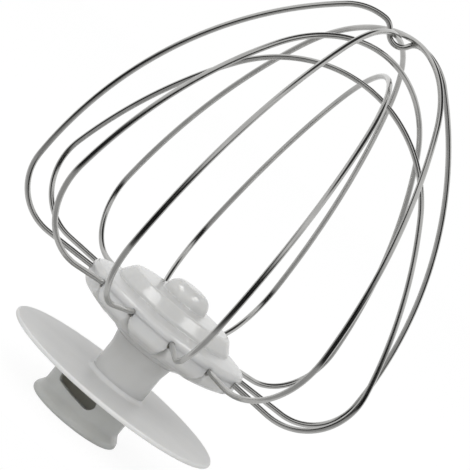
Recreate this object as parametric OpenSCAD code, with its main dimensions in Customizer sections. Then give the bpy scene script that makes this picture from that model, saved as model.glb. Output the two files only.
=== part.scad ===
// Wire whip of a stand mixer: six bent wire loops in a two-part moulded hub,
// over a thin splash disc and a short drive coupling.
// The origin is the centre of the coupling's open end, +Z towards the wires.
// The cage and the disc turn about an axis of their own, a little beside the coupling's.

/* [Coupling] */
// Height of the coupling under the splash disc
coupling_h = 15; // [12:0.5:24]
// Outer diameter of the coupling's sleeve
sleeve_d = 28.4; // [26:0.2:32]
// Wall of the sleeve
sleeve_wall = 2.2; // [1.6:0.1:3]
// Thickness of the floor that closes the sleeve at the disc
floor_t = 2.5; // [1.5:0.1:4]
// Outer diameter of the rounded lip at the open end
lip_d = 32.4; // [31:0.2:38]
// Height of the lip, from the end face to where the sleeve starts
lip_h = 4.6; // [3:0.2:6]
// Distance of the whip's own axis from the coupling's axis
axis_offset = 3.8; // [0:0.2:5]
// Width of the latch slot, along the sleeve's curve seen flat
slot_w = 15.2; // [8:0.4:18]
// Height of the latch slot at its narrow end
slot_h = 3.4; // [2:0.2:5]
// How much higher the slot is at its other end
slot_flare = 1.2; // [0:0.2:2]
// Depth of the slot's upper edge below the splash disc
slot_top = 3.4; // [2.6:0.2:6]
// Angle of the latch slot round the sleeve, from the front
slot_turn = -14; // [-60:2:60]

/* [Splash disc] */
// Diameter of the splash disc
disc_d = 76.4; // [70:0.4:90]
// Thickness of the splash disc at its rim
disc_t = 1.5; // [1:0.1:3]
// Width of the collar that stands round the foot of the neck
collar_w = 1.4; // [0.8:0.1:2.5]
// Height of that collar above the disc
collar_h = 1.6; // [0.8:0.2:3]

/* [Hub] */
// Height of the wire holes above the splash disc
neck_rise = 24.5; // [22:0.5:34]
// Diameter of the neck at its foot
neck_d = 19.2; // [17:0.2:22]
// Diameter of the neck where it meets the flange
neck_top_d = 21; // [19:0.2:24]
// Diameter of the spigot that goes through the disc into the coupling
spigot_d = 11; // [8:0.5:13]
// Diameter of the flange that holds the wires
flange_d = 58.6; // [56:0.2:64]
// Depth of the flange below the wire holes
flange_low = 6.2; // [5.8:0.1:8]
// Radius of the flange's lower edge
low_round = 4.4; // [3:0.1:5]
// How much lower the lobes are half way to the neck than at that edge
belly = 1.2; // [0.8:0.1:1.6]
// Height of the flange above the wire holes, at the drum
flange_high = 3.7; // [3.2:0.1:5]
// How much lower the flange's upper face is at its edge
flange_fall = 1.2; // [0.4:0.1:1.6]
// Radius of the flange's upper edge
high_round = 2; // [1.4:0.1:2.2]
// Depth of the cone under the flange, down to the neck
cone_h = 4; // [2:0.2:6]
// Diameter of the raised drum on the flange
drum_d = 42.6; // [38:0.2:48]
// Height of the drum above the flange
drum_h = 4.9; // [4.4:0.1:6]
// How much narrower the drum's side is at its top
drum_draft = 0.4; // [0.2:0.1:2]
// Radius of the drum's rounded shoulder
drum_round = 4.4; // [1:0.1:4.4]
// Diameter of the knob in the middle of the drum
knob_d = 15.6; // [12:0.2:20]
// Height of the knob above the drum
knob_h = 5.5; // [4.6:0.1:8]
// Height above the wire holes of the line where the lobes are widest, at the flange's edge
lobe_rise = 0.8; // [0.4:0.1:1.2]
// Depth below the wire holes of the point where all the lobes meet
lobe_root = 15.9; // [15:0.1:17]
// How far each lobe is wider than its twelfth of the flange
lobe_lap = 1.02; // [1.01:0.01:1.06]
// Depth of each hole's mouth below the wire
mouth_drop = 1; // [0.4:0.1:1.6]
// Length of that mouth
mouth_l = 2.4; // [1:0.1:4]
// Diameter of the gate mark on the drum
gate_d = 1.6; // [1:0.1:3]
// Depth of the gate mark
gate_t = 0.6; // [0.3:0.1:1]
// Distance of the gate mark from the knob
gate_gap = 2.6; // [1.5:0.1:5]
// Angle of the gate mark round the drum
gate_turn = 156; // [0:2:358]

/* [Wires] */
// Diameter of the wire
wire_d = 1.8; // [1.5:0.1:2.2]
// Clearance between a wire and its hole
wire_gap = 0.05; // [0.02:0.01:0.1]
// Length of wire held inside the hub
seat_l = 11; // [6:0.5:14]
// Diameter of the cage at its widest, between wire centres
cage_d = 126; // [116:1:136]
// Height of the outer loops' crowns above the wire holes
outer_rise = [112.6, 114.8, 114.7]; // [100:0.1:130]
// Height of the inner loops' crowns above the wire holes
inner_rise = [101.3, 105.8, 95.3]; // [80:0.1:120]
// Radius of the outer loops' lower bends
outer_bend = [21, 23.1, 16.9]; // [12:0.1:26]
// Radius of the inner loops' lower bends
inner_bend = [20.5, 21.1, 19.7]; // [12:0.1:26]
// How much larger the outer loops' first lower bend is than the mean of the two
outer_uneven = [-3.2, 1.6, 0.2]; // [-6:0.1:6]
// How much larger the inner loops' first lower bend is than the mean of the two
inner_uneven = [-5.6, 1, -0.1]; // [-6:0.1:6]
// Direction in which the outer loops leave their lower bends
outer_turn = [93.2, 95.6, 90.4]; // [88:0.1:106]
// Direction in which the inner loops leave their lower bends
inner_turn = [90.1, 97.8, 103.5]; // [88:0.1:106]
// Direction in which the outer loops' crowns start, from level outwards
outer_crown = [131.2, 125.2, 139.2]; // [122:0.1:142]
// Direction in which the inner loops' crowns start
inner_crown = [132.8, 127.4, 125.3]; // [122:0.1:142]
// Lean of the outer loops about the line through their two holes
outer_lean = [-0.5, 1, 0]; // [-5:0.1:5]
// Lean of the inner loops about the line through their two holes
inner_lean = [2.8, 0.8, 3.9]; // [-5:0.1:5]
// Sideways shift of the outer loops' crowns
outer_shift = [1.4, 3.7, 0.4]; // [-6:0.1:6]
// Sideways shift of the inner loops' crowns
inner_shift = [-5, -0.1, 0]; // [-6:0.1:6]
// Depth of the dip in the last outer loop, where the other two cross it
dip_t = 4.5; // [4:0.1:6]
// Half of the dip's width
dip_w = 7.5; // [6:0.5:10]

/* [Hidden] */
$fn = 64;
fit = 0.05;
disc_z = coupling_h;
disc_top = disc_z + disc_t;
hole_z = disc_top + neck_rise;
flange_r = flange_d / 2;
hole_n = 12;
hole_step = 360 / hole_n;
neck_r = neck_d / 2;
neck_top_r = neck_top_d / 2;
neck_top_z = hole_z - flange_low - cone_h;
flare_h = 4;
edge_z = hole_z + flange_high - flange_fall;
crease_z = hole_z + flange_high;
drum_z = crease_z + drum_h;
knob_z = drum_z + knob_h;
hole_d = wire_d + 2 * wire_gap;
outer_angle = [-15, 45, -75];
inner_angle = [15, -45, 75];
wire_sides = 12;

// Points of an arc about centre c, from angle a to angle b.
function arc(c, r, a, b, n = 10) = [for (i = [0 : n]) c + r * [cos(a + (b - a) * i / n), sin(a + (b - a) * i / n)]];

// Moves what follows onto the whip's own axis.
module on_axis() {
    translate([axis_offset, 0, 0]) children();
}

// The sleeve with its lip, revolved about the coupling's own axis.
module sleeve_shape() {
    lip_r = lip_d / 2;
    sleeve_r = sleeve_d / 2;
    bore_r = sleeve_r - sleeve_wall;
    round_r = lip_h / 4;
    fillet = 0.4;
    rotate_extrude($fn = 96)
        polygon(concat(
            [[bore_r, 0], [lip_r - round_r, 0]],
            arc([lip_r - round_r, round_r], round_r, -90, 60, 6),
            [[sleeve_r + fillet, lip_h], [sleeve_r, lip_h + 3 * fillet], [sleeve_r, coupling_h],
             [0, coupling_h], [0, coupling_h - floor_t], [bore_r, coupling_h - floor_t]]));
}

module coupling() {
    slot_end = slot_h + slot_flare;
    color("darkgray")
    difference() {
        sleeve_shape();
        // Hole for the hub's spigot, on the whip's axis.
        on_axis() translate([0, 0, coupling_h - floor_t - 1]) cylinder(d = spigot_d + 2 * fit, h = floor_t + 2);
        // Latch slot through the wall that shows.
        translate([0, 0, coupling_h - slot_top]) rotate([90, 0, slot_turn]) hull() {
            translate([(slot_h - slot_w) / 2, -slot_h / 2, 0]) cylinder(d = slot_h, h = sleeve_d);
            translate([(slot_w - slot_end) / 2, -slot_end / 2, 0]) cylinder(d = slot_end, h = sleeve_d);
        }
    }
}

module splash_disc() {
    disc_r = disc_d / 2;
    inner_r = spigot_d / 2 + fit;
    collar_r = neck_r + fit;
    rim = disc_t / 2;
    color("gainsboro")
    on_axis() translate([0, 0, disc_z])
    rotate_extrude($fn = 128)
        polygon(concat(
            [[inner_r, 0], [disc_r - rim, 0]],
            arc([disc_r - rim, rim], rim, -90, 90, 8),
            [[collar_r + 2 * collar_w, disc_t], [collar_r + collar_w, disc_t + collar_h / 2],
             [collar_r + collar_w * 0.6, disc_t + collar_h], [collar_r, disc_t + collar_h],
             [collar_r, disc_t], [inner_r, disc_t]]));
}

// Half-round seats for the twelve wire ends, which run out through the holes' mouths.
module wire_seats() {
    for (i = [0 : hole_n - 1])
        rotate([0, 0, (i + 0.5) * hole_step])
            translate([flange_r - seat_l - fit, 0, hole_z])
                rotate([0, 90, 0]) cylinder(d = hole_d, h = seat_l + low_round, $fn = 16);
}

// The holes' mouths are open a little below the wires.
module hole_mouths() {
    for (i = [0 : hole_n - 1])
        rotate([0, 0, (i + 0.5) * hole_step])
            translate([flange_r - mouth_l, 0, hole_z - mouth_drop]) {
                rotate([0, 90, 0]) cylinder(d = hole_d, h = mouth_l + 1, $fn = 16);
                translate([0, -hole_d / 2, 0]) cube([mouth_l + 1, hole_d, mouth_drop + 1]);
            }
}

// Twelve lobes under the flange, one between every two wire holes: cones that meet at one point
// on the axis, so that a valley runs from each hole down to the neck.
module lobes() {
    tilt = atan((lobe_root + lobe_rise) / flange_r);
    spread = lobe_lap * tan(hole_step / 2) * cos(tilt);
    reach = flange_r / cos(tilt) + low_round;
    for (i = [0 : hole_n - 1])
        rotate([0, 0, i * hole_step]) translate([0, 0, hole_z - lobe_root])
            rotate([0, 90 - tilt, 0]) cylinder(r1 = 0, r2 = reach * spread, h = reach, $fn = 36);
}

// The flange's lower half as it is in the middle of each lobe.
module flange_envelope() {
    edge = flange_r - low_round;
    rotate_extrude($fn = 72)
        polygon(concat(
            [[0, neck_top_z], [neck_top_r, neck_top_z], [neck_top_r + cone_h, neck_top_z + cone_h / 2],
             [edge - low_round, hole_z - flange_low - belly]],
            arc([edge, hole_z - flange_low + low_round], low_round, -100, 0, 7),
            [[flange_r, hole_z], [0, hole_z]]));
}

// The body behind the valleys.
module flange_core() {
    rotate_extrude($fn = 72)
        polygon([[0, neck_top_z], [neck_top_r, neck_top_z], [flange_r - mouth_drop, hole_z - hole_d / 3],
                 [flange_r - mouth_drop, hole_z], [0, hole_z]]);
}

module hub_body() {
    color("gainsboro")
    on_axis() difference() {
        union() {
            translate([0, 0, coupling_h - floor_t]) cylinder(d = spigot_d, h = disc_t + floor_t + 1);
            rotate_extrude($fn = 72)
                polygon([[0, disc_top], [neck_r, disc_top], [neck_r, neck_top_z - flare_h],
                         [neck_top_r, neck_top_z], [0, neck_top_z]]);
            flange_core();
            intersection() {
                flange_envelope();
                lobes();
            }
        }
        wire_seats();
        hole_mouths();
    }
}

module hub_cap() {
    drum_r = drum_d / 2;
    shoulder_r = drum_r - drum_draft - drum_round;
    knob_r = knob_d / 2;
    dome_r = knob_r * 0.58;
    color("whitesmoke")
    on_axis() difference() {
        rotate_extrude($fn = 128)
            polygon(concat(
                [[0, hole_z], [flange_r, hole_z]],
                arc([flange_r - high_round, edge_z - high_round], high_round, 0, 80, 8),
                [[drum_r, crease_z]],
                arc([shoulder_r, drum_z - drum_round], drum_round, 12, 90, 9),
                [[knob_r, drum_z]],
                arc([knob_r - dome_r, knob_z - dome_r], dome_r, 0, 90, 8),
                [[0, knob_z]]));
        wire_seats();
        // Gate mark on the drum's top.
        rotate([0, 0, gate_turn]) translate([knob_r + gate_gap, 0, drum_z - gate_t])
            cylinder(d = gate_d, h = gate_t + 1);
    }
}

// Displacement along a bend of radius r, from heading a to heading b. A negative radius bends right.
function bend_step(r, a, b) = r * [sin(b) - sin(a), cos(a) - cos(b)];

// Stations [x, z, heading] along a bend that starts at p, without p itself.
function bend_path(p, r, a, b, n) =
    [for (i = [1 : n]) let (t = a + (b - a) * i / n, q = p + bend_step(r, a, t)) [q[0], q[1], t]];

// Half a loop: straight leg out of the hub, lower bend, long side and crown, ending level over x = end.
// The side's and the crown's radii follow from the place and the height where the crown ends.
function half_path(rise, bend, turn, crown, end) =
    let (
        leg_end = [cage_d / 2 - bend, 0],
        side = leg_end + bend_step(bend, 0, turn),
        goal = [end, rise] - side,
        a11 = sin(crown) - sin(turn), a12 = -sin(crown),
        a21 = cos(turn) - cos(crown), a22 = cos(crown) + 1,
        det = a11 * a22 - a12 * a21,
        side_r = (goal[0] * a22 - a12 * goal[1]) / det,
        crown_r = (a11 * goal[1] - a21 * goal[0]) / det,
        crown_start = side + bend_step(side_r, turn, crown))
    concat(
        [[flange_r - seat_l, 0, 0], [leg_end[0], 0, 0]],
        bend_path(leg_end, bend, 0, turn, 11),
        bend_path(side, side_r, turn, crown, 8),
        bend_path(crown_start, crown_r, crown, 180, 8));

// The dip at the end of a crown: down by dip_t over dip_w, with two equal bends.
function dip_path(start, rise) =
    let (
        dip_turn = 2 * atan(dip_t / dip_w),
        dip_r = dip_w / (2 * sin(dip_turn)),
        middle = [start, rise] + bend_step(dip_r, 180, 180 + dip_turn))
    concat(
        bend_path([start, rise], dip_r, 180, 180 + dip_turn, 5),
        bend_path(middle, -dip_r, 180 + dip_turn, 180, 5));

// The other half of a loop, walked back down to the hub, without the station they share.
function mirrored(path) = [for (i = [len(path) - 2 : -1 : 0]) [-path[i][0], path[i][1], 360 - path[i][2]]];

function loop_path(rise, bend, uneven, turn, crown, shift, dipped) =
    let (
        reach = dipped ? dip_w : 0,
        right = half_path(rise, bend + uneven, turn, crown, reach + shift),
        left = half_path(rise, bend - uneven, turn, crown, reach - shift))
    dipped
        ? concat(right, dip_path(reach + shift, rise), mirrored(concat(left, dip_path(reach - shift, rise))))
        : concat(right, mirrored(left));

// Sweeps the wire's section along a path in the XZ plane.
module wire(path) {
    n = wire_sides;
    last = len(path) - 1;
    points = [for (s = path, k = [0 : n - 1])
        let (a = 360 * k / n, u = wire_d / 2 * cos(a))
        [s[0] - u * sin(s[2]), wire_d / 2 * sin(a), s[1] + u * cos(s[2])]];
    walls = [for (i = [0 : last - 1], k = [0 : n - 1])
        let (m = (k + 1) % n)
        [i * n + k, i * n + m, (i + 1) * n + m, (i + 1) * n + k]];
    polyhedron(
        points = points,
        faces = concat([[for (k = [n - 1 : -1 : 0]) k]], walls, [[for (k = [0 : n - 1]) last * n + k]]),
        convexity = 6);
}

// Puts a loop's plane on its two holes, with its lean.
module loop(angle, lean, path) {
    on_axis() translate([0, 0, hole_z]) rotate([0, 0, angle - 90]) rotate([-lean, 0, 0]) wire(path);
}

module outer_loop(i) {
    color("lightslategray")
    loop(outer_angle[i], outer_lean[i],
         loop_path(outer_rise[i], outer_bend[i], outer_uneven[i], outer_turn[i], outer_crown[i],
                   outer_shift[i], i == 2));
}

module inner_loop(i) {
    color("slategray")
    loop(inner_angle[i], inner_lean[i],
         loop_path(inner_rise[i], inner_bend[i], inner_uneven[i], inner_turn[i], inner_crown[i],
                   inner_shift[i], false));
}

coupling();
splash_disc();
hub_body();
hub_cap();
outer_loop(0);  // outer_loop_1
outer_loop(1);  // outer_loop_2
outer_loop(2);  // outer_loop_3
inner_loop(0);  // inner_loop_1
inner_loop(1);  // inner_loop_2
inner_loop(2);  // inner_loop_3
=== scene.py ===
# %% [markdown]
# # A stand mixer's wire whip
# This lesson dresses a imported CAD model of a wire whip: six bent steel loops in a pale plastic
# hub, with a thin splash disc and a short coupling that goes on the mixer's drive.
# The CAD model has the true sizes. Here each piece gets the smooth surface and the finish
# that it has on the real whip, without changing any size.

# %% Load the frame
import math

import bpy
import bmesh
import numpy as np
from mathutils import Matrix, Vector


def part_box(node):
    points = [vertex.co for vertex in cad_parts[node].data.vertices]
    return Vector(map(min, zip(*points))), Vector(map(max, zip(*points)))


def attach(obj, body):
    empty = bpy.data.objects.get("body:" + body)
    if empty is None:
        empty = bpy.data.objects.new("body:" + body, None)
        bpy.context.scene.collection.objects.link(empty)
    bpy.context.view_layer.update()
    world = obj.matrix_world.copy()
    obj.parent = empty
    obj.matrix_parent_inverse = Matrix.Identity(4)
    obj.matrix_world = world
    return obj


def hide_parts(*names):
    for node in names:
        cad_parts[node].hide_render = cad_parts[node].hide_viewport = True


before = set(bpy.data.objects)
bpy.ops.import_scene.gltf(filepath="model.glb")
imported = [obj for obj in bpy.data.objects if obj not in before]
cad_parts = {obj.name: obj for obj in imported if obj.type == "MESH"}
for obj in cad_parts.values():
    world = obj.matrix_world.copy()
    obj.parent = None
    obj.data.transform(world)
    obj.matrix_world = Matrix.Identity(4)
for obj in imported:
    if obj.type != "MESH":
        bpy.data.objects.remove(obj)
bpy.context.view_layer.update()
bpy.context.scene.view_settings.view_transform = "Standard"
print("CAD nodes:", ", ".join(sorted(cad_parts)))

# %% [markdown]
# ## Sizes
# All lengths are written in millimetres, as on the drawing, and turned into metres when a mesh
# is made. The heights that other pieces depend on are read from the frame, so that each piece
# still meets its neighbours when the drawing changes.

# %% Driving sizes
MM = 0.001


def cad_low(node):
    """Lowest corner of a CAD node, in millimetres."""
    return np.array(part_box(node)[0]) / MM


def cad_high(node):
    """Highest corner of a CAD node, in millimetres."""
    return np.array(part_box(node)[1]) / MM


disc_low, disc_high = cad_low("splash_disc"), cad_high("splash_disc")
AXIS_X = (disc_low[0] + disc_high[0]) / 2
DISC_Z = disc_low[2]
DISC_R = (disc_high[0] - disc_low[0]) / 2
DISC_T = 1.5
NECK_R = 9.6
DISC_TOP = DISC_Z + DISC_T
HOLE_Z = cad_low("hub_cap")[2]
KNOB_Z = cad_high("hub_cap")[2]
FLANGE_R = (cad_high("hub_cap")[0] - cad_low("hub_cap")[0]) / 2
HOLES = 12
HOLE_STEP = math.radians(360 / HOLES)
FIRST_HOLE = HOLE_STEP / 2
WIRE_D = 1.8
FIT = 0.05
SEAT_L = 11.0
SPIGOT_R = 5.5
COUPLING_FLOOR = DISC_Z - 2.5
print(f"axis x {AXIS_X:.2f}, disc at {DISC_Z:.2f}, wire holes at {HOLE_Z:.2f}, knob to {KNOB_Z:.2f} mm")

# %% [markdown]
# ## Helpers for turned shapes
# The hub, the disc and the coupling are all turned shapes: a profile that goes round an axis.
# A moulded part has no sharp edge, so the profile is given by its corners, each with the
# radius of its rounding. `rounded` puts an arc in each corner, and `lathe` turns the result.
# `even` adds points to long straight stretches, so that no face gets very long and thin.

# %% Rounded profiles


def rounded(corners, steps=8):
    """A profile through corners (r, z, radius), with an arc of that radius in each corner."""
    points = []
    for i, (r, z, radius) in enumerate(corners):
        here = np.array([r, z])
        if radius == 0 or i in (0, len(corners) - 1):
            points.append(here)
            continue
        back = np.array(corners[i - 1][:2]) - here
        ahead = np.array(corners[i + 1][:2]) - here
        back /= np.linalg.norm(back)
        ahead /= np.linalg.norm(ahead)
        half = math.acos(np.clip(back @ ahead, -1, 1)) / 2
        middle = (back + ahead) / np.linalg.norm(back + ahead)
        centre = here + middle * radius / math.sin(half)
        start, end = here + back * radius / math.tan(half), here + ahead * radius / math.tan(half)
        for k in range(steps + 1):
            chord = start + (end - start) * k / steps - centre
            points.append(centre + chord / np.linalg.norm(chord) * radius)
    return np.array(points)


def even(points, spacing):
    """The same polyline with extra points, so that no stretch is longer than spacing."""
    out = [points[0]]
    for a, b in zip(points[:-1], points[1:]):
        n = max(1, math.ceil(np.linalg.norm(b - a) / spacing))
        out += [a + (b - a) * k / n for k in range(1, n + 1)]
    return np.array(out)


# %% Turned meshes
MERGE = 0.002
SLIVER = 0.001


def mesh_object(name, vertices, faces, edges=()):
    """An object at the origin, from vertices in millimetres."""
    mesh = bpy.data.meshes.new(name)
    mesh.from_pydata([tuple(v) for v in np.asarray(vertices) * MM], edges, faces)
    mesh.validate()
    made = bpy.data.objects.new(name, mesh)
    bpy.context.scene.collection.objects.link(made)
    return made


def finish_mesh(made, sharp=35):
    """Merges doubles, turns the faces outwards and shades them smooth up to an angle."""
    work = bmesh.new()
    work.from_mesh(made.data)
    bmesh.ops.remove_doubles(work, verts=work.verts, dist=MERGE * MM)
    bmesh.ops.dissolve_degenerate(work, edges=work.edges, dist=SLIVER * MM)
    bmesh.ops.recalc_face_normals(work, faces=work.faces)
    for face in work.faces:
        face.smooth = True
    for edge in work.edges:
        edge.smooth = len(edge.link_faces) == 2 and edge.calc_face_angle(0) < math.radians(sharp)
    work.to_mesh(made.data)
    work.free()
    return made


def lathe(name, profile, axis_x, steps=144, shape=None):
    """Turns a closed profile (r, z) about the line x = axis_x. shape(r, z, angle) may move the rings."""
    vertices, faces = [], []
    n = len(profile)
    for i in range(steps):
        angle = 2 * math.pi * i / steps
        r, z = profile[:, 0], profile[:, 1]
        if shape:
            r, z = shape(r, z, angle)
        vertices.append(np.column_stack([axis_x + r * math.cos(angle), r * math.sin(angle), z]))
    for i in range(steps):
        m = (i + 1) % steps
        for k in range(n - 1):
            faces.append((i * n + k, m * n + k, m * n + k + 1, i * n + k + 1))
        faces.append((i * n + n - 1, m * n + n - 1, m * n, i * n))
    return mesh_object(name, np.vstack(vertices), faces)


# %% [markdown]
# ## Helpers for shaders
# A material is easier to read as a formula than as a list of links. The class `Socket` stands
# for a socket of a node: adding or multiplying two of them adds the Math node that does it.
# All other nodes are made by one method, `Shader.node`, which takes the sockets by their names.

# %% Sockets as values


class Socket:
    """A socket of a node tree, on which sums and products add Math nodes."""

    def __init__(self, tree, link):
        self.tree, self.link = tree, link

    def math(self, operation, *others):
        node = self.tree.nodes.new("ShaderNodeMath")
        node.operation = operation
        for k, value in enumerate((self, *others)):
            connect(self.tree, value, node.inputs[k])
        return Socket(self.tree, node.outputs[0])

    def __add__(self, other):
        return self.math("ADD", other)

    def __mul__(self, other):
        return self.math("MULTIPLY", other)

    def __sub__(self, other):
        return self.math("SUBTRACT", other)

    def __rsub__(self, other):
        return (self * -1) + other

    __radd__, __rmul__ = __add__, __mul__


def connect(tree, value, target):
    """Links a Socket, or writes a plain value, into a node's input."""
    if isinstance(value, Socket):
        tree.links.new(value.link, target)
    else:
        target.default_value = value


class Shader:
    """A node tree with one method for every node: its type, its settings, then its sockets."""

    def __init__(self, tree):
        self.tree = tree
        tree.nodes.clear()

    def node(self, kind, settings=None, output=0, **sockets):
        made = self.tree.nodes.new(kind)
        for name, value in (settings or {}).items():
            if name == "stops":
                set_stops(made.color_ramp, value)
            else:
                setattr(made, name, value)
        for name, value in sockets.items():
            connect(self.tree, value, made.inputs[name.replace("_", " ")])
        return Socket(self.tree, made.outputs[output]) if made.outputs else made


def set_stops(ramp, stops):
    """Puts the stops (place, colour) on a colour ramp."""
    while len(ramp.elements) > 1:
        ramp.elements.remove(ramp.elements[-1])
    for k, (place, colour) in enumerate(stops):
        element = ramp.elements[0] if k == 0 else ramp.elements.new(place)
        element.position = place
        element.color = (*colour, 1) if len(colour) == 3 else colour


def linear(grey, tint=(1, 1, 1)):
    """The linear colour of a grey level from 0 to 255, with a tint."""
    level = grey / 255
    value = level / 12.92 if level <= 0.04045 else ((level + 0.055) / 1.055) ** 2.4
    return tuple(value * t for t in tint)


# %% [markdown]
# ## The plastic
# The hub, disc and coupling are moulded in a milky plastic. It is smooth and glossy, and a
# little light goes into it, which softens the shadows. Light goes deep into the thick hub and
# coupling, and less than a millimetre into the thin disc. Two very faint noises keep the plastic
# from looking like a computer's grey: slow clouds in the colour, as the pigment never mixes
# evenly, and a shallow bump, as a mould's surface is never quite flat. The disc is given a
# lighter colour than the hub. That is painted light, against the shade that the hub casts on it.

# %% Plastic materials
OBJECT_PLACE = 3
CLOUD_DARK, CLOUD_LIGHT = 0.93, 1.05
RIPPLE_SCALE, RIPPLE_HEIGHT, RIPPLE_SHARE = 450.0, 0.2, 0.03
GLOSS_RANGE = 0.06


def new_shader(name):
    """A new material and its empty node tree."""
    material = bpy.data.materials.new(name)
    material.use_nodes = True
    return material, Shader(material.node_tree)


def plastic(name, colour, cloud_size, roughness, depth):
    """A milky moulded plastic, which light enters to a depth in millimetres."""
    material, shader = new_shader(name)
    place = shader.node("ShaderNodeTexCoord", output=OBJECT_PLACE)
    clouds = shader.node("ShaderNodeTexNoise", Vector=place, Scale=1 / (cloud_size * MM), Detail=3.0)
    dark = tuple(c * CLOUD_DARK for c in colour)
    light = tuple(min(1, c * CLOUD_LIGHT) for c in colour)
    tint = shader.node("ShaderNodeValToRGB", {"stops": [(0.3, dark), (0.7, light)]}, Fac=clouds)
    ripple = shader.node("ShaderNodeTexNoise", Vector=place, Scale=RIPPLE_SCALE, Detail=2.0)
    bump = shader.node("ShaderNodeBump", Height=ripple, Strength=RIPPLE_SHARE, Distance=RIPPLE_HEIGHT * MM)
    surface = shader.node(
        "ShaderNodeBsdfPrincipled",
        Base_Color=tint,
        Roughness=ripple * GLOSS_RANGE + (roughness - GLOSS_RANGE / 2),
        Normal=bump,
        IOR=1.49,
        Subsurface_Weight=0.6,
        Subsurface_Scale=depth * MM,
        Subsurface_Radius=(1.0, 0.95, 0.85),
    )
    shader.node("ShaderNodeOutputMaterial", Surface=surface)
    print(f"{name}: roughness {roughness}, light goes {depth} mm in")
    return material


hub_plastic = plastic("milky_plastic", linear(211, (1, 1, 0.985)), 22, 0.17, 6.0)
# The disc's colour is lighter than the hub's, though it is the same plastic. That is painted light, which
# makes up for the shade that the flange and neck cast on the disc.
disc_plastic_painted_light = plastic("disc_plastic_painted_light", linear(226, (1, 1, 0.99)), 30, 0.42, 0.8)
coupling_plastic = plastic("coupling_plastic", linear(206, (0.99, 1, 0.965)), 14, 0.25, 6.0)

# %% [markdown]
# ## The wire
# The loops are bright drawn steel. The metal itself is a middle grey with a trace of warmth. What
# makes it nearly black in one place and bright in the next is the room that it mirrors, so the
# dark and bright bands are made in the room, in the cell on light, and not in this material.
# A round wire mirrors a wide sweep of the room across its width of 1.8 mm. A fine bump would only
# break that up into dots, so the metal has none: soft patches in its roughness are enough.

# %% Wire material
WARM = (1, 0.995, 0.97)
PATCH_SCALE = 160.0


def steel(name, dark, light, polish, patchiness):
    """Bright drawn wire, with patches between two grey levels, from a polish up by a patchiness."""
    material, shader = new_shader(name)
    place = shader.node("ShaderNodeTexCoord", output=OBJECT_PLACE)
    patches = shader.node("ShaderNodeTexNoise", Vector=place, Scale=PATCH_SCALE, Detail=3.0)
    stops = [(0.3, linear(dark, WARM)), (0.7, linear(light, WARM))]
    surface = shader.node(
        "ShaderNodeBsdfPrincipled",
        Base_Color=shader.node("ShaderNodeValToRGB", {"stops": stops}, Fac=patches),
        Metallic=1.0,
        Roughness=patches * patchiness + polish,
    )
    shader.node("ShaderNodeOutputMaterial", Surface=surface)
    print(f"{name}: grey {dark} to {light}, roughness {polish} to {polish + patchiness:.2f}")
    return material


wire_steel = steel("drawn_steel", 174, 190, polish=0.09, patchiness=0.1)

# %% [markdown]
# ## The wire loops
# Each loop is one wire, bent to the same rule: a straight leg out of the hub, a tight lower
# bend, a long side of large radius and a round crown. Only the height of the crown and a few
# small differences change from loop to loop, as the loops are bent by hand. The last outer loop
# dips under the other two, where all three cross at the top. The rule is worked out in Python as
# a line of points, and a Geometry Nodes tree sweeps the round section along it.

# %% The bending rule
CAGE_R = 63.0
DIP_T = 4.5
DIP_W = 7.5
LOW_POINTS, SIDE_POINTS, CROWN_POINTS, DIP_POINTS = 26, 40, 30, 8
LEG_SPACING = 3.0


def bend(start, radius, turn_from, turn_to, count):
    """Points along a bend in the loop's plane, without its first point. A negative radius bends right."""
    turns = turn_from + (turn_to - turn_from) * np.arange(1, count + 1) / count
    step = np.column_stack([np.sin(turns) - math.sin(turn_from), math.cos(turn_from) - np.cos(turns)])
    return start + radius * step


def half_loop(rise, low_bend, turn, crown_turn, end):
    """Half a loop, from inside the hub to a level crown over x = end."""
    turn, crown_turn = math.radians(turn), math.radians(crown_turn)
    leg = np.array([[FLANGE_R - SEAT_L, 0.0], [CAGE_R - low_bend, 0.0]])
    low = bend(leg[-1], low_bend, 0.0, turn, LOW_POINTS)
    rule = np.array([
        [math.sin(crown_turn) - math.sin(turn), -math.sin(crown_turn)],
        [math.cos(turn) - math.cos(crown_turn), math.cos(crown_turn) + 1],
    ])
    side_r, crown_r = np.linalg.solve(rule, np.array([end, rise]) - low[-1])
    side = bend(low[-1], side_r, turn, crown_turn, SIDE_POINTS)
    crown = bend(side[-1], crown_r, crown_turn, math.pi, CROWN_POINTS)
    return np.vstack([even(leg, LEG_SPACING), low, side, crown])


def dip(start):
    """The dip at the end of a crown: two equal bends, one left and one right."""
    turn = 2 * math.atan(DIP_T / DIP_W)
    radius = DIP_W / (2 * math.sin(turn))
    first = bend(start, radius, math.pi, math.pi + turn, DIP_POINTS)
    return np.vstack([first, bend(first[-1], -radius, math.pi + turn, math.pi, DIP_POINTS)])


def loop_line(azimuth, rise, low_bend, uneven, turn, crown_turn, lean, shift, dipped=False):
    """The centre line of a loop, in millimetres. Azimuth and turns are in degrees."""
    reach = DIP_W if dipped else 0.0
    right = half_loop(rise, low_bend + uneven, turn, crown_turn, reach + shift)
    left = half_loop(rise, low_bend - uneven, turn, crown_turn, reach - shift)
    if dipped:
        right = np.vstack([right, dip(right[-1])])
        left = np.vstack([left, dip(left[-1])])
    flat = np.vstack([right, (left * [-1, 1])[-2::-1]])
    stand = Matrix.Rotation(math.radians(azimuth - 90), 3, "Z") @ Matrix.Rotation(math.radians(-lean), 3, "X")
    line = np.column_stack([flat[:, 0], np.zeros(len(flat)), flat[:, 1]]) @ np.array(stand).T
    return line + [AXIS_X, 0, HOLE_Z]


# %% A tree that sweeps a round wire


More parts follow.
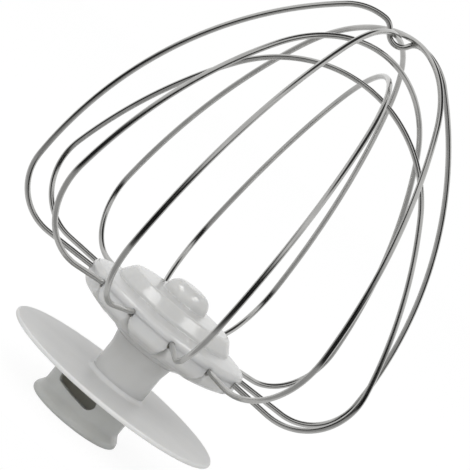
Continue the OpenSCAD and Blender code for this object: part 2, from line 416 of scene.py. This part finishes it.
def wire_tree():
    """Geometry Nodes: a line of points becomes a round wire of a given diameter."""
    tree = bpy.data.node_groups.new("sweep_wire", "GeometryNodeTree")
    face = tree.interface
    face.new_socket("Line", in_out="INPUT", socket_type="NodeSocketGeometry")
    face.new_socket("Diameter", in_out="INPUT", socket_type="NodeSocketFloat")
    face.new_socket("Sides", in_out="INPUT", socket_type="NodeSocketInt")
    face.new_socket("Finish", in_out="INPUT", socket_type="NodeSocketMaterial")
    face.new_socket("Wire", in_out="OUTPUT", socket_type="NodeSocketGeometry")
    inputs = tree.nodes.new("NodeGroupInput")
    outputs = tree.nodes.new("NodeGroupOutput")
    to_curve = tree.nodes.new("GeometryNodeMeshToCurve")
    radius = tree.nodes.new("ShaderNodeMath")
    radius.operation = "DIVIDE"
    radius.inputs[1].default_value = 2.0
    section = tree.nodes.new("GeometryNodeCurvePrimitiveCircle")
    sweep = tree.nodes.new("GeometryNodeCurveToMesh")
    sweep.inputs["Fill Caps"].default_value = True
    smooth = tree.nodes.new("GeometryNodeSetShadeSmooth")
    real = tree.nodes.new("GeometryNodeRealizeInstances")
    paint = tree.nodes.new("GeometryNodeSetMaterial")
    for start, end in (
        (inputs.outputs["Line"], to_curve.inputs[0]),
        (inputs.outputs["Diameter"], radius.inputs[0]),
        (radius.outputs[0], section.inputs["Radius"]),
        (inputs.outputs["Sides"], section.inputs["Resolution"]),
        (to_curve.outputs[0], sweep.inputs["Curve"]),
        (section.outputs["Curve"], sweep.inputs["Profile Curve"]),
        (sweep.outputs[0], smooth.inputs["Geometry"]),
        (smooth.outputs[0], real.inputs["Geometry"]),
        (real.outputs[0], paint.inputs["Geometry"]),
        (inputs.outputs["Finish"], paint.inputs["Material"]),
        (paint.outputs[0], outputs.inputs["Wire"]),
    ):
        tree.links.new(start, end)
    return tree


def run_tree(source, tree, values, name):
    """Runs a Geometry Nodes tree on an object and returns the result as a plain mesh object."""
    modifier = source.modifiers.new("tree", "NODES")
    modifier.node_group = tree
    for item in tree.interface.items_tree:
        if item.in_out == "INPUT" and item.name in values:
            modifier[item.identifier] = values[item.name]
    graph = bpy.context.evaluated_depsgraph_get()
    mesh = bpy.data.meshes.new_from_object(source.evaluated_get(graph))
    mesh.name = name
    bpy.data.objects.remove(source)
    made = bpy.data.objects.new(name, mesh)
    bpy.context.scene.collection.objects.link(made)
    return made


# %% [markdown]
# ## Bending the six loops
# Each row holds a loop's values in the order that `loop_line` names them: the direction of its
# plane, the height of its crown, the radius of its low bend and how unequal its two sides are,
# the turns where its side starts and ends, its lean, and how far its crown stands off the middle.
# The points of the line are joined by edges, so that the tree can turn them into a curve.

# %% Bend the six loops
LOOPS = {
    "outer_loop_1": (-15, 112.6, 21.0, -3.2, 93.2, 131.2, -0.5, 1.4),
    "outer_loop_2": (45, 114.8, 23.1, 1.6, 95.6, 125.2, 1.0, 3.7),
    "outer_loop_3": (-75, 114.7, 16.9, 0.2, 90.4, 139.2, 0.0, 0.4, True),
    "inner_loop_1": (15, 101.3, 20.5, -5.6, 90.1, 132.8, 2.8, -5.0),
    "inner_loop_2": (-45, 105.8, 21.1, 1.0, 97.8, 127.4, 0.8, -0.1),
    "inner_loop_3": (75, 95.3, 19.7, -0.1, 103.5, 125.3, 3.9, 0.0),
}
WIRE_SIDES = 20
sweep_wire = wire_tree()
for node, bends in LOOPS.items():
    line = loop_line(*bends)
    joined = [(i, i + 1) for i in range(len(line) - 1)]
    points = mesh_object(node + "_line", line, [], joined)
    values = {"Diameter": WIRE_D * MM, "Sides": WIRE_SIDES, "Finish": wire_steel}
    loop = run_tree(points, sweep_wire, values, node.replace("loop", "wire"))
    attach(loop, "root")
    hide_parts(node)
    length = np.linalg.norm(np.diff(line, axis=0), axis=1).sum()
    print(f"{node}: {length:.0f} mm of wire, {len(loop.data.polygons)} faces")

# %% [markdown]
# ## The wire holes
# The hub is moulded in two halves that close on the wires, so each half has twelve half-round
# seats. They are cut with a Boolean from a ring of twelve rods, a little thicker than the wire.
# A second ring of short rods, drawn out downwards, opens the mouths of the holes: there the
# plastic stands back from the wire's lower side, which shows as a dark spot under each wire.

# %% Rods that cut the seats and the mouths
MOUTH_L = 2.4
MOUTH_DROP = 0.8
PAST_RIM = 5.0


def section(drop, steps=12):
    """A circle as wide as a wire hole, drawn out downwards by drop."""
    half_circle = np.arange(steps + 1) * math.pi / steps
    top = np.column_stack([np.cos(half_circle), np.sin(half_circle)]) * (WIRE_D / 2 + FIT)
    return np.vstack([top, -top - [0, drop]])


def ring_of_rods(name, outline, start, end):
    """Twelve rods of one section, which lie like spokes from radius start to radius end."""
    vertices, faces = [], []
    n = len(outline)
    for k in range(HOLES):
        angle = FIRST_HOLE + k * HOLE_STEP
        spoke = np.array([math.cos(angle), math.sin(angle)])
        side = np.array([-spoke[1], spoke[0]])
        base = len(vertices)
        for radius in (start, end):
            for across, up in outline:
                vertices.append((*(spoke * radius + side * across), up))
        for i in range(n):
            m = (i + 1) % n
            faces.append((base + i, base + m, base + n + m, base + n + i))
        faces += [tuple(range(base + n - 1, base - 1, -1)), tuple(range(base + n, base + 2 * n))]
    made = mesh_object(name, np.array(vertices) + [AXIS_X, 0, HOLE_Z], faces)
    return finish_mesh(made)


def cut(made, cutter):
    """Takes the cutter's shape out of an object."""
    modifier = made.modifiers.new("cut", "BOOLEAN")
    modifier.operation = "DIFFERENCE"
    modifier.solver = "EXACT"
    modifier.object = cutter
    graph = bpy.context.evaluated_depsgraph_get()
    mesh = bpy.data.meshes.new_from_object(made.evaluated_get(graph))
    made.modifiers.clear()
    made.data = mesh
    return made


plastic_pieces = bpy.data.collections.new("plastic_pieces")


def dress(made, node, material):
    """Gives an object its material and puts it in the place of a CAD node."""
    plastic_pieces.objects.link(made)
    finish_mesh(made)
    made.data.materials.clear()
    made.data.materials.append(material)
    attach(made, "root")
    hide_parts(node)
    print(f"{node}: {len(made.data.polygons)} faces")


seats = ring_of_rods("seats", section(0.0), FLANGE_R - SEAT_L - FIT, FLANGE_R + PAST_RIM)
mouths = ring_of_rods("mouths", section(MOUTH_DROP), FLANGE_R - MOUTH_L, FLANGE_R + PAST_RIM)
print(f"{HOLES} seats {SEAT_L} mm long, mouths {MOUTH_DROP} mm below the wires")

# %% [markdown]
# ## The hub's cap
# The upper half is a knob on a drum on a flange, all turned. The drum has a broad slanting
# shoulder, which mirrors the lamps, and a small dimple on its top is where the plastic was let
# into the mould. The dimple is cut with a short rod, half of which stands above the drum.

# %% Hub cap
CREASE_Z = HOLE_Z + 3.7
EDGE_Z = CREASE_Z - 1.2
DRUM_Z = CREASE_Z + 4.9
DRUM_R = 21.3
KNOB_R = 7.8
GATE_D, GATE_T = 1.6, 0.6
GATE_GAP, GATE_TURN = 2.6, 156
cap_profile = rounded([
    (0.0, HOLE_Z, 0), (FLANGE_R, HOLE_Z, 0), (FLANGE_R, EDGE_Z, 2.0), (DRUM_R, CREASE_Z, 0.5),
    (DRUM_R - 0.2, CREASE_Z + 1.1, 1.6), (DRUM_R - 2.9, DRUM_Z - 0.1, 2.0), (KNOB_R, DRUM_Z + 0.3, 0.6),
    (KNOB_R - 0.5, KNOB_Z, 4.2), (0.0, KNOB_Z, 0),
], 10)
cap = cut(lathe("cap", even(cap_profile, 1.0), AXIS_X), seats)
gate_turn, gate_r = math.radians(GATE_TURN), KNOB_R + GATE_GAP
gate_place = Vector((AXIS_X + gate_r * math.cos(gate_turn), gate_r * math.sin(gate_turn), DRUM_Z))
gate = bmesh.new()
bmesh.ops.create_cone(
    gate, cap_ends=True, segments=24, radius1=GATE_D / 2 * MM, radius2=GATE_D / 2 * MM,
    depth=2 * GATE_T * MM, matrix=Matrix.Translation(gate_place * MM),
)
gate_mesh = bpy.data.meshes.new("gate")
gate.to_mesh(gate_mesh)
gate.free()
gate_pin = bpy.data.objects.new("gate", gate_mesh)
bpy.context.scene.collection.objects.link(gate_pin)
dress(cut(cap, gate_pin), "hub_cap", hub_plastic)
bpy.data.objects.remove(gate_pin)

# %% [markdown]
# ## The hub's body
# The lower half is a neck under a flange with twelve lobes, like a pumpkin's, and a valley
# between every two lobes runs from a wire hole down to the neck. Each lobe is a cone that lies on
# its side with its point on the axis, cut off by the flange's outline. The surface is found by
# walking outwards from a point inside the flange, in many directions at every angle round the
# axis, until the walk leaves the cone or the outline. A soft minimum of the two walks rounds
# the edge where they meet. A plain core under the lobes stops the valleys from getting too deep.

# %% The lobed flange
NECK_TOP = (10.5, HOLE_Z - 10.2)
NECK_FLARE = 4.0
LOBE_ROOT, LOBE_RISE = 15.9, 0.8
LOBE_LAP = 1.02
LOBE_TILT = math.atan((LOBE_ROOT + LOBE_RISE) / FLANGE_R)
LOBE_SPREAD = LOBE_LAP * math.tan(HOLE_STEP / 2) * math.cos(LOBE_TILT)
HEART = np.array([18.0, HOLE_Z])
WALK_STEP, WALK_FAR, WALKS = 0.05, 24, 40
VALLEY_SOFT, RIM_SOFT, CORE_SOFT = 2.4, 1.2, 1.6
CORE_IN, CORE_DROP = 0.9, 1.1


def soft_min(a, b, reach):
    """The smaller of two values, with the corner between them rounded over reach."""
    near = np.clip(1 - abs(a - b) / reach, 0, 1)
    return np.minimum(a, b) - near * near * reach / 4


def outline_walk(outline, turns):
    """How far the outline (r, z) lies from the heart in each direction."""
    spread = even(np.array(outline), WALK_STEP) - HEART
    angles = np.arctan2(spread[:, 1], spread[:, 0])
    order = np.argsort(angles)
    return np.interp(turns, angles[order], np.linalg.norm(spread, axis=1)[order])


def cone_walk(turns, angle):
    """How far one can walk from the heart inside a lobe's cone, at an angle from its middle."""
    steps = np.arange(0, WALK_FAR, WALK_STEP)
    r = HEART[0] + np.outer(np.cos(turns), steps)
    z = np.outer(np.sin(turns), steps) + LOBE_ROOT
    along = r * math.cos(angle) * math.cos(LOBE_TILT) + z * math.sin(LOBE_TILT)
    gap = np.sqrt(np.maximum(r * r + z * z - along * along, 0)) - along * LOBE_SPREAD
    inside = gap <= 0
    last = np.minimum(len(steps) - 1 - np.argmax(inside[:, ::-1], axis=1), len(steps) - 2)
    rows = np.arange(len(turns))
    before, after = gap[rows, last], gap[rows, last + 1]
    share = np.clip(-before / np.maximum(after - before, 1e-6), 0, 1)
    return np.where(inside.any(axis=1), steps[last] + share * WALK_STEP, 0)


edge_arc = rounded([
    (NECK_TOP[0], NECK_TOP[1], 0), (NECK_TOP[0] + 4, NECK_TOP[1] + 2, 3), (FLANGE_R - 8.8, HOLE_Z - 7.4, 5),
    (FLANGE_R - 4.6, HOLE_Z - 6.1, 4), (FLANGE_R - 0.5, HOLE_Z - 4.4, 3), (FLANGE_R, HOLE_Z, 0),
])
core = [NECK_TOP, (FLANGE_R - CORE_IN, HOLE_Z - CORE_DROP), (FLANGE_R - CORE_IN, HOLE_Z)]
neck_turn = math.atan2(NECK_TOP[1] - HEART[1], NECK_TOP[0] - HEART[0])
turns = np.linspace(neck_turn, 0, WALKS)
outline_far = outline_walk(edge_arc, turns)
core_far = outline_walk(core, turns)


def lobed(angle):
    """The flange's lower side (r, z) at an angle round the axis."""
    from_middle = (angle + HOLE_STEP / 2) % HOLE_STEP - HOLE_STEP / 2
    own, next_one = cone_walk(turns, from_middle), cone_walk(turns, HOLE_STEP - abs(from_middle))
    lobes = -soft_min(-own, -next_one, VALLEY_SOFT)
    far = soft_min(outline_far, lobes, RIM_SOFT)
    far = -soft_min(-far, -core_far, CORE_SOFT)
    far[0] = outline_far[0]
    return np.column_stack([HEART[0] + far * np.cos(turns), HEART[1] + far * np.sin(turns)])


ridge, valley = lobed(0.0), lobed(HOLE_STEP / 2)
deepest = np.linalg.norm(ridge - valley, axis=1).max()
print(f"the valleys between the lobes are up to {deepest:.1f} mm deep")

# %% Hub body
neck = even(rounded([
    (0.0, COUPLING_FLOOR, 0), (SPIGOT_R, COUPLING_FLOOR, 0.3), (SPIGOT_R, DISC_TOP, 0), (NECK_R, DISC_TOP, 0),
    (NECK_R, NECK_TOP[1] - NECK_FLARE, 9), (NECK_TOP[0], NECK_TOP[1], 0),
]), 1.2)
BODY_STEPS = 24 * HOLES


def body_ring(r, z, angle):
    """The whole profile of the body at an angle: spigot, neck, lobes and the flat top."""
    flange = lobed(angle)
    return np.r_[neck[:-1, 0], flange[:, 0], 0.0], np.r_[neck[:-1, 1], flange[:, 1], HOLE_Z]


body_profile = np.zeros((len(neck) - 1 + len(turns) + 1, 2))
body = lathe("body", body_profile, AXIS_X, BODY_STEPS, body_ring)
dress(cut(cut(body, seats), mouths), "hub_body", hub_plastic)
bpy.data.objects.remove(seats)
bpy.data.objects.remove(mouths)

# %% [markdown]
# ## The splash disc
# The disc is thin, with a round rim. A small fillet runs up to the neck's foot. Two surfaces
# that lie exactly on each other leave a dark seam in the render, so the fillet's end goes a
# hair's breadth into the neck instead of ending on its surface.

# %% Splash disc
RIM_ROUND = 0.9 * DISC_T / 2
FILLET_R, FILLET_H = 1.8, 2.0
SUNK, DEEP = NECK_R - 0.05, NECK_R - 0.4
disc_profile = rounded([
    (SPIGOT_R + FIT, DISC_Z, 0), (DISC_R, DISC_Z, RIM_ROUND), (DISC_R, DISC_TOP, RIM_ROUND),
    (SUNK, DISC_TOP, FILLET_R), (SUNK, DISC_TOP + FILLET_H, 0),
    (DEEP, DISC_TOP + FILLET_H, 0), (DEEP, DISC_TOP, 0), (SPIGOT_R + FIT, DISC_TOP, 0),
])
disc = lathe("disc", even(disc_profile, 2.5), AXIS_X, 192)
dress(disc, "splash_disc", disc_plastic_painted_light)

# %% [markdown]
# ## The coupling
# The coupling is a sleeve with a flared lip, and it stands off the whip's axis. Its latch slot
# is a little higher at one end than at the other, so its cutter has the outline of two circles
# joined by tangents. A round hole in its floor takes the spigot of the hub.

# %% Coupling
coupling_low, coupling_high = cad_low("coupling"), cad_high("coupling")
LIP_R = (coupling_high[0] - coupling_low[0]) / 2
SLEEVE_R = 14.2
BORE_R = 12.0
LIP_H = 4.6
SLOT_W = 15.2
SLOT_TOP = 3.4
SLOT_LOW, SLOT_HIGH = 3.4, 4.6
SLOT_TURN = math.radians(-14)
PAST_WALL = 3.0
sleeve_profile = rounded([
    (0.0, COUPLING_FLOOR, 0), (BORE_R, COUPLING_FLOOR, 0.4), (BORE_R, 0, 0.3),
    (LIP_R, 0, 1.1), (LIP_R - 0.4, 2.2, 1.4),
    (SLEEVE_R, LIP_H, 2.2), (SLEEVE_R, DISC_Z, 0), (0.0, DISC_Z, 0),
], 10)
coupling = lathe("coupling_sleeve", even(sleeve_profile, 1.5), 0.0, 144)


def slot_cutter():
    """A rod like the slot, pointing to the front: a thin and a thick circle joined by tangents."""
    thin, thick = SLOT_LOW / 2, SLOT_HIGH / 2
    apart = SLOT_W - thin - thick
    lean = math.asin((thick - thin) / apart)
    outline = []
    for radius, x, start, end in (
        (thick, SLOT_W / 2 - thick, -math.pi / 2 - lean, math.pi / 2 + lean),
        (thin, thin - SLOT_W / 2, math.pi / 2 + lean, 3 * math.pi / 2 - lean),
    ):
        for turn in np.linspace(start, end, 15):
            outline.append((x + radius * math.cos(turn), radius * (math.sin(turn) - 1)))
    n = len(outline)
    ends = (-SLEEVE_R - PAST_WALL, -PAST_WALL)
    vertices = [(x, y, DISC_Z - SLOT_TOP + z) for y in ends for x, z in outline]
    faces = [(i, (i + 1) % n, n + (i + 1) % n, n + i) for i in range(n)]
    faces += [tuple(range(n - 1, -1, -1)), tuple(range(n, 2 * n))]
    turned = np.array(Matrix.Rotation(SLOT_TURN, 3, "Z"))
    return finish_mesh(mesh_object("slot", np.array(vertices) @ turned.T, faces))


def spigot_hole():
    """A rod through the coupling's floor, for the hub's spigot."""
    radius, low, high = SPIGOT_R + FIT, COUPLING_FLOOR - 1, DISC_Z + 1
    profile = [(0.0, low), (radius, low), (radius, high), (0.0, high)]
    return finish_mesh(lathe("hole", np.array(profile), AXIS_X, 64))


for cutter in (slot_cutter(), spigot_hole()):
    cut(coupling, cutter)
    bpy.data.objects.remove(cutter)
dress(coupling, "coupling", coupling_plastic)

# %% [markdown]
# ## The floor
# The whip stands on a sheet of white paper. To the camera the paper glows, so that it is as
# white as the room behind it and no horizon shows, but a share of the shadow stays. The sheet
# ends a little in front of the whip, and glossy rays see the paper at less than half its light,
# so that the wires mirror less white from below.

# %% Floor
MIRRORED_SHARE = 0.4
FLOOR_SIZE = 3000
FLOOR_FRONT = 60
FLOOR_DROP = 0.02


def ray_kind(shader, *names):
    """The sockets that say what kind of ray has hit, such as Is Camera Ray."""
    path = shader.tree.nodes.new("ShaderNodeLightPath")
    return [Socket(shader.tree, path.outputs[name]) for name in names]


def white_stage(name, shadow_share, level):
    """A white surface that still shows a part of the shadows that fall on it."""
    material, shader = new_shader(name)
    camera_ray, glossy_ray, through_ray = ray_kind(
        shader, "Is Camera Ray", "Is Glossy Ray", "Is Transmission Ray")
    seen = camera_ray.math("MAXIMUM", through_ray.math("MAXIMUM", glossy_ray * MIRRORED_SHARE))
    paper = shader.node("ShaderNodeBsdfDiffuse", Color=(0.9, 0.9, 0.9, 1))
    white = shader.node("ShaderNodeEmission", Color=(1, 1, 1, 1), Strength=level)
    mix = shader.tree.nodes.new("ShaderNodeMixShader")
    for k, value in enumerate((seen * (1 - shadow_share), paper, white)):
        connect(shader.tree, value, mix.inputs[k])
    shader.node("ShaderNodeOutputMaterial", Surface=Socket(shader.tree, mix.outputs[0]))
    return material


left, right, near, back = -FLOOR_SIZE, FLOOR_SIZE, -FLOOR_FRONT, FLOOR_SIZE
sheet = (left, near), (right, near), (right, back), (left, back)
floor = mesh_object("floor", [(x, y, -FLOOR_DROP) for x, y in sheet], [(0, 1, 2, 3)])
floor.data.materials.append(white_stage("white_paper", 0.16, 1.08))
print(f"the sheet ends {FLOOR_FRONT} mm in front of the coupling's axis")

# %% [markdown]
# ## The room
# The world is three things at once. To the camera it is plain white. As a lamp for the plastic it
# is an even, soft light. To the wires it is a room to mirror: white behind the whip, and on the
# camera's side a nearly black band at eye height under a bright band, as in a room with bright
# windows above a dark wall, and a dark ceiling. A polished wire draws these bands as thin lines
# along its length, and those lines are what makes it look like bright steel.

# %% Room
ROOM_LIGHT = 0.61
VIEW_AZIMUTH = math.radians(4.6)
ROOM_BANDS = ((-7, 0.5), (1, 0.012), (18, 0.012), (30, 0.9), (60, 0.9))
CEILING_FROM, CEILING_TO, CEILING_DARK = 51, 60, 0.95
FRONT = (math.sin(VIEW_AZIMUTH), -math.cos(VIEW_AZIMUTH), 0.0)
world = bpy.data.worlds.new("studio")
bpy.context.scene.world = world
world.use_nodes = True
sky = Shader(world.node_tree)
direction = sky.node("ShaderNodeTexCoord", output=0)
towards = sky.node("ShaderNodeVectorMath", {"operation": "DOT_PRODUCT"}, output=1)
sky.tree.links.new(direction.link, towards.link.node.inputs[0])
towards.link.node.inputs[1].default_value = FRONT
front = sky.node(
    "ShaderNodeMapRange", {"interpolation_type": "SMOOTHSTEP"}, Value=towards, From_Min=-0.15, From_Max=0.3
)
height = sky.node("ShaderNodeSeparateXYZ", output=2, Vector=direction)
bands = []
for degrees, level in ROOM_BANDS:
    bands.append(((math.sin(math.radians(degrees)) + 1) / 2, (level, level, level)))
seen_ahead = sky.node("ShaderNodeValToRGB", {"stops": bands}, Fac=height * 0.5 + 0.5)
ceiling = sky.node(
    "ShaderNodeMapRange", {"interpolation_type": "SMOOTHSTEP"}, Value=height,
    From_Min=math.sin(math.radians(CEILING_FROM)), From_Max=math.sin(math.radians(CEILING_TO)),
)
mirrored = (front * (seen_ahead - 1) + 1) * (1 - ceiling * CEILING_DARK)
camera_ray, glossy_ray = ray_kind(sky, "Is Camera Ray", "Is Glossy Ray")
lit = glossy_ray * (mirrored - ROOM_LIGHT) + ROOM_LIGHT
strength = lit + camera_ray * (1 - lit)
background = sky.node("ShaderNodeBackground", Color=(1, 1, 1, 1), Strength=strength)
sky.node("ShaderNodeOutputWorld", Surface=background)
for degrees, level in ROOM_BANDS:
    print(f"ahead, {degrees} degrees up: level {level}")

# %% [markdown]
# ## The lamps
# Two long softboxes hang overhead, one to the left and one to the right, and make the two square
# lights on the drum's shoulder. They are only mirrored, and only by the plastic: on wire this
# thin they would be a row of glittering dots. Blender's light linking keeps a lamp to one
# collection of objects. The key lamp does the opposite. It gives soft light and shade from
# the front, and nothing mirrors it.

# %% Lamps
BOX_RADIANCE, KEY_RADIANCE = 6.0, 1.85


def softbox(name, place, size, radiance, mirrored_only=False, aimed=False):
    """A flat lamp that faces down or is aimed at the hub. Its place is in metres as the camera sees it."""
    data = bpy.data.lights.new(name, "AREA")
    data.shape, data.size, data.size_y = "RECTANGLE", size[0], size[1]
    data.energy = radiance * math.pi * size[0] * size[1]
    lamp = bpy.data.objects.new(name, data)
    around = Matrix.Rotation(VIEW_AZIMUTH, 3, "Z")
    lamp.location = Vector((AXIS_X, 0, HOLE_Z)) * MM + around @ Vector(place)
    if aimed:
        lamp.rotation_euler = (around @ Vector(place)).to_track_quat("Z", "Y").to_euler()
    else:
        lamp.rotation_euler = (0, 0, VIEW_AZIMUTH)
    lamp.visible_camera = False
    lamp.visible_diffuse = not mirrored_only
    lamp.visible_glossy = mirrored_only
    bpy.context.scene.collection.objects.link(lamp)
    return lamp


for lamp_name, lamp_place, lamp_size in (
    ("box_left", (-0.62, -0.25, 0.9), (0.37, 0.8)),
    ("box_right", (0.43, -0.33, 0.9), (0.36, 0.8)),
):
    lamp = softbox(lamp_name, lamp_place, lamp_size, BOX_RADIANCE, mirrored_only=True)
    lamp.light_linking.receiver_collection = plastic_pieces
softbox("key", (-0.3, -1.5, 0.75), (1.4, 1.4), KEY_RADIANCE, aimed=True)

# %% [markdown]
# ## The camera
# The camera was fitted to the photograph: its focal length in pixels, and the turn and shift that
# bring the whip before it. The turn is a rotation vector, whose direction is the axis and whose
# length is the angle. Picture axes point right and down, and Blender's camera looks along its
# own -Z with +Y up, so two axes are flipped.

# %% Camera
FOCAL_PIXELS = 2064.16
PICTURE_PIXELS = 470
SENSOR = 36.0
VIEW_TURN = Vector((1.5426, 0.6269, 0.4621))
VIEW_SHIFT = Vector((-21.27, 27.26, 634.5))

turn = Matrix.Rotation(VIEW_TURN.length, 3, VIEW_TURN.normalized())
camera_data = bpy.data.cameras.new("camera")
camera_data.sensor_width = SENSOR
camera_data.lens = FOCAL_PIXELS / PICTURE_PIXELS * SENSOR
camera_data.clip_end = 20
camera = bpy.data.objects.new("camera", camera_data)
flip = Matrix.Diagonal((1, -1, -1))
place = turn.transposed() @ (-VIEW_SHIFT) + Vector((AXIS_X, 0, HOLE_Z))
camera.matrix_world = Matrix.Translation(place * MM) @ (turn.transposed() @ flip).to_4x4()
bpy.context.scene.collection.objects.link(camera)
bpy.context.scene.camera = camera
print(f"lens {camera_data.lens:.1f} mm, {(place - Vector((AXIS_X, 0, HOLE_Z))).length:.0f} mm from the hub")
